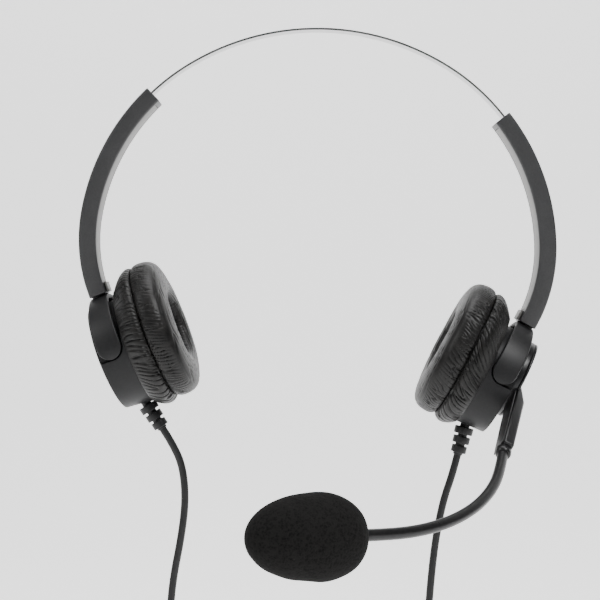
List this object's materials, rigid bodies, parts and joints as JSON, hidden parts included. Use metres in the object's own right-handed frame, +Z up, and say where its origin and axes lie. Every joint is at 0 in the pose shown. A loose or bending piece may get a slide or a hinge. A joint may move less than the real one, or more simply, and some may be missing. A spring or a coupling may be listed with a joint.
{
  "type": "office headset",
  "caption": "Binaural call-centre headset with a sprung steel strip, sliding arms, tilting padded ear cups, a turning microphone boom and a tied cord with a modular plug.",
  "frame": {"origin": "middle of the head strip's underside at its apex, where it rests on the head", "axes": "+Z up, +X to the wearer's left (the boom side), -Y in front of the face"},
  "size_m": [0.1892, 0.176, 0.4055],
  "materials": {
    "polished_steel": "polished spring steel with fine lengthwise lines",
    "plated_steel": "plated",
    "arm_plastic": "satin black, fine moulded grain",
    "cup_plastic": "smooth matt black",
    "magnet": "dull plated",
    "cone_film": "thin clear-brown film",
    "leatherette": "black imitation leather, gathered and creased",
    "ear_cloth": "fine black knit",
    "soft_rubber": "satin black cable jacket",
    "tie_band": "hook-and-loop strap",
    "neck_sleeve": "satin black sleeve over a wound spring",
    "capsule_metal": "drawn can",
    "foam": "open-cell acoustic foam",
    "clear_plastic": "clear polycarbonate",
    "gold_contact": "gold flash"
  },
  "bodies": {
    "headband": {"head_strip": "polished_steel", "strip_stop_right": "plated_steel", "strip_stop_left": "plated_steel", "cable_right": "soft_rubber", "cable_left": "soft_rubber", "cable_joint": "soft_rubber", "trunk_cable": "soft_rubber", "trunk_coil": "soft_rubber", "coil_tie": "tie_band", "plug_cable": "soft_rubber", "plug_body": "clear_plastic", "plug_contacts": "gold_contact"},
    "boom": {"boom_rotor": "cup_plastic", "boom_cover": "cup_plastic", "boom_ferrule": "cup_plastic", "gooseneck": "neck_sleeve", "mic_housing": "cup_plastic", "mic_capsule": "capsule_metal", "foam_windscreen": "foam"},
    "arm_right": {"arm_shell_right": "arm_plastic", "arm_cover_right": "arm_plastic", "strip_guide_right": "arm_plastic"},
    "fork_right": {"fork_right": "arm_plastic", "swivel_pin_right": "plated_steel", "swivel_clip_right": "plated_steel", "tilt_pins_right": "plated_steel"},
    "cup_right": {"cup_shell_right": "cup_plastic", "baffle_right": "cup_plastic", "cup_screws_right": "plated_steel", "speaker_frame_right": "cup_plastic", "speaker_magnet_right": "magnet", "speaker_cone_right": "cone_film", "ear_pad_right": "leatherette", "ear_screen_right": "ear_cloth", "cable_sleeve_right": "soft_rubber"},
    "arm_left": {"arm_shell_left": "arm_plastic", "arm_cover_left": "arm_plastic", "strip_guide_left": "arm_plastic"},
    "fork_left": {"fork_left": "arm_plastic", "swivel_pin_left": "plated_steel", "swivel_clip_left": "plated_steel", "tilt_pins_left": "plated_steel"},
    "cup_left": {"cup_shell_left": "cup_plastic", "baffle_left": "cup_plastic", "cup_screws_left": "plated_steel", "speaker_frame_left": "cup_plastic", "speaker_magnet_left": "magnet", "speaker_cone_left": "cone_film", "ear_pad_left": "leatherette", "ear_screen_left": "ear_cloth", "cable_sleeve_left": "soft_rubber", "boom_screw": "plated_steel"}
  },
  "joints": [
    {"name": "arm_slide_right", "type": "hinge", "parent": "headband", "child": "arm_right", "pos_m": [-0.00657, 0, -0.08759], "axis": [0, -1, 0], "range_deg": [-5.3, 14.6], "deforming": ["cable_right"]},
    {"name": "swivel_right", "type": "hinge", "parent": "arm_right", "child": "fork_right", "pos_m": [-0.07907, 0, -0.12536], "axis": [-0.3649, 0, 0.9311], "range_deg": [-5.5, 10.5]},
    {"name": "tilt_right", "type": "hinge", "parent": "fork_right", "child": "cup_right", "pos_m": [-0.07907, 0, -0.12536], "axis": [-0.0406, -0.999, -0.0159], "range_deg": [-12.6, 7.4]},
    {"name": "arm_slide_left", "type": "hinge", "parent": "headband", "child": "arm_left", "pos_m": [0.00657, 0, -0.08759], "axis": [0, 1, 0], "range_deg": [-13.8, 6.1], "deforming": ["cable_left"]},
    {"name": "swivel_left", "type": "hinge", "parent": "arm_left", "child": "fork_left", "pos_m": [0.07269, 0, -0.13566], "axis": [0.4985, 0, 0.8669], "range_deg": [-5.5, 10.5]},
    {"name": "tilt_left", "type": "hinge", "parent": "fork_left", "child": "cup_left", "pos_m": [0.07269, 0, -0.13566], "axis": [0.0378, 0.999, -0.0217], "range_deg": [-7.1, 8.4]},
    {"name": "boom_turn", "type": "hinge", "parent": "cup_left", "child": "boom", "pos_m": [0.07774, -0.00025, -0.13829], "axis": [-0.8862, 0.0436, 0.4613], "range_deg": [-48, 90]}
  ]
}
